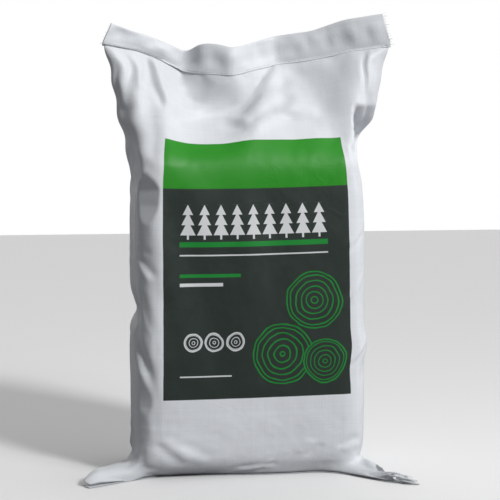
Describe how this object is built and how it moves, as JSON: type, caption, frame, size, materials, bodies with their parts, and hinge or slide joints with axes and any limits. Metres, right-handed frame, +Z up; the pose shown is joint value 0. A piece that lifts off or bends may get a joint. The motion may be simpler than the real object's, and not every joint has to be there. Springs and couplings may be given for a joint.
{
  "type": "filled woven sack of firewood logs",
  "caption": "Upright woven-plastic sack, folded and sewn shut, filled with split kiln-dried firewood logs; plain two-tone printed panel, pointed ears at its corners.",
  "frame": {"origin": "middle of the sack's footprint with its ears, on the surface that it stands on", "axes": "+Z up along the sack, its longest extent; +X to the right of the printed front; the front faces -Y and Y is the shortest extent"},
  "size_m": [0.56, 0.2916, 0.8337],
  "materials": {
    "sack_fabric": "white woven polypropylene tape with a thin glossy film, printed on the front",
    "sewing_thread": "twisted polyester thread, matte",
    "firewood": "dry split hardwood with bark on its round side"
  },
  "bodies": {
    "root": {"sack_body": "sack_fabric", "top_hem": "sack_fabric", "top_stitching": "sewing_thread", "bottom_hem": "sack_fabric", "bottom_stitching": "sewing_thread", "log_01": "firewood", "log_02": "firewood", "log_03": "firewood", "log_04": "firewood", "log_05": "firewood", "log_06": "firewood", "log_07": "firewood", "log_08": "firewood", "log_09": "firewood", "log_10": "firewood", "log_11": "firewood", "log_12": "firewood", "log_13": "firewood", "log_14": "firewood", "log_15": "firewood", "log_16": "firewood"}
  },
  "joints": []
}
